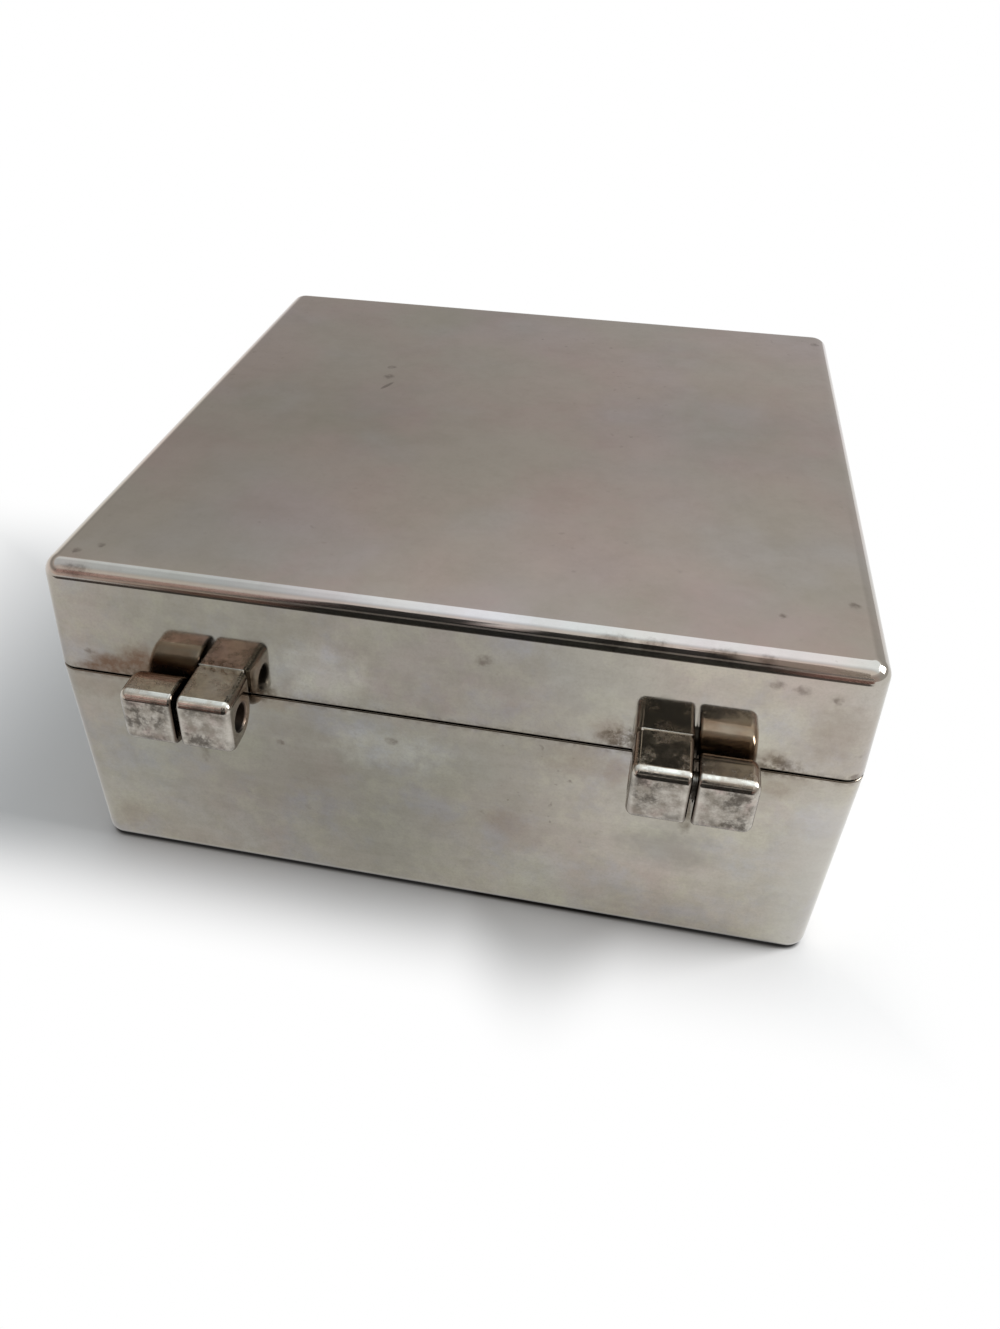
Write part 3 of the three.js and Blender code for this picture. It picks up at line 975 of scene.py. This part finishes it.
# Light
# A wide soft ceiling that is brightest overhead, and a soft panel at the photo's right that casts the
# shadow. Dark, brown, grey, pink and pale cards, which only the polished metal mirrors, stand for the room.
panel_place = Vector((-0.94, -0.14, 0.60))
panel_size = 0.5
panel_power = 13.0
bpy.ops.object.light_add(type="AREA", location=panel_place)
panel = bpy.context.object
panel.name = "side_panel"
panel.data.shape = "SQUARE"
panel.data.size = panel_size
panel.data.energy = panel_power
panel.rotation_euler = (-panel_place).to_track_quat("-Z", "Y").to_euler()

# The room round the box, by direction, with the photo's left. The camera sees it white, and matt things
# get about half of its light.
room_tone = (1.0, 0.97, 0.93, 1)
ceiling_tone = (0.85, 0.94, 1.0, 1)
blush_tone = (1.0, 0.83, 0.77, 1)
white_tone = (1, 1, 1, 1)
matt_share = 0.54
grey_level = 0.41
right_level = 0.145
upper_level = 0.2
low_left_level = 0.6

# Directions in which the room changes, each as where a share is 0 and where it is 1
ceiling_z = (0.60, 0.65)
cool_y = (0.5, 0.2)
blush_y = (0.3, 0.8)
blush_z = (0.8, 0.3)
darker_left_x = (0.1, 0.4)
darker_left_y = (-0.45, -0.25)
darker_rear_y = (0.0, 0.4)
right_x = (0.45, -0.2)
upper_z = (0.42, 0.62)
low_left_x = (0.2, 0.6)
low_left_z = (0.38, 0.1)
high_left_x = (0.05, 0.35)
high_left_y = (0.4, 0.6)
high_left_z = (0.5, 0.62)

world = bpy.data.worlds.new("studio")
bpy.context.scene.world = world
world.use_nodes = True
background = world.node_tree.nodes["Background"]
sky = Shade(world.node_tree, world.node_tree.nodes.new("ShaderNodeTexCoord").outputs["Generated"])
sky_x = axis(sky, 0)
sky_y = axis(sky, 1)
sky_z = axis(sky, 2)
ceiling = sky_z.step(*ceiling_z)
darker_left = sky_x.step(*darker_left_x) * (0.55 + 0.24 * sky_y.step(*darker_left_y))
darker_rear = sky_y.step(*darker_rear_y) * 0.65
overhead = ceiling * (1.0 - darker_rear) * (1.0 - darker_left)
grey = grey_level + sky_x.step(*right_x) * right_level + sky_z.step(*upper_z) * upper_level
low_left = sky_x.step(*low_left_x) * sky_z.step(*low_left_z) * low_left_level
high_left = sky_x.step(*high_left_x) * sky_z.step(*high_left_z)
high_left = high_left * (0.08 + 0.14 * sky_y.step(*high_left_y))
level = grey + low_left + high_left + overhead
seen = ray(sky, "Camera")
lighting = level * ray(sky, "Glossy").at_least(matt_share)
sky.feed(background.inputs["Strength"], seen + (1 - seen) * lighting)
cool = ceiling * sky_y.step(*cool_y)
blush = sky_y.step(*blush_y) * sky_z.step(*blush_z)
sky_tone = blush.between(cool.between(room_tone, ceiling_tone), blush_tone)
sky.feed(background.inputs["Color"], seen.between(sky_tone, white_tone))

card_edge = 0.5
upright = (math.pi / 2, 0, 0)
lying = (0, 0, 0)


def card_finish(name, tone, solid_x=0.36, solid_y=0.42):
    """Matt card that fades out from these shares of its width and height to its edges."""
    material, shader, place = new_finish(name)
    shader.inputs["Base Color"].default_value = tone
    shader.inputs["Roughness"].default_value = 0.9
    solid = abs(axis(place, 0)).step(card_edge, solid_x) * abs(axis(place, 1)).step(card_edge, solid_y)
    place.feed(shader.inputs["Alpha"], solid)
    return material


def flag(name, place, turn, size, finish):
    """A card, placed and sized in mm, that only the polished metal mirrors."""
    bpy.ops.object.select_all(action="DESELECT")
    bpy.ops.mesh.primitive_plane_add(size=1, location=Vector(place) * mm, rotation=turn)
    card = bpy.context.object
    card.name = card.data.name = name
    card.scale = (size[0] * mm, size[1] * mm, 1)
    card.visible_camera = False
    card.visible_diffuse = False
    card.visible_shadow = False
    card.data.materials.append(finish)


black_card = card_finish("black_card", (0.035, 0.034, 0.031, 1))
brown_card = card_finish("brown_card", (0.30, 0.18, 0.155, 1))
grey_card = card_finish("grey_card", (0.44, 0.39, 0.34, 1))
pink_card = card_finish("pink_card", (0.93, 0.655, 0.605, 1), solid_x=0.1, solid_y=0.16)
pale_card = card_finish("pale_card", (0.32, 0.30, 0.28, 1))
floor_card = card_finish("floor_card", (0.09, 0.075, 0.07, 1))
flag("pale_strip", (-25, 178, 88), upright, (240, 26), pale_card)
flag("pink_flag", (112, 181, 130), upright, (126, 92), pink_card)
flag("left_flag", (44, 182, 165), upright, (64, 140), black_card)
flag("lens_flag", (-26, 183, 105), upright, (66, 205), black_card)
flag("low_flag", (-2, 184, 55), upright, (150, 150), black_card)
flag("lower_flag", (-20, 188, 42), upright, (300, 46), brown_card)
flag("right_flag", (-72, 187, 190), upright, (56, 180), grey_card)
flag("floor_flag", (42, 235, 2), lying, (380, 185), floor_card)
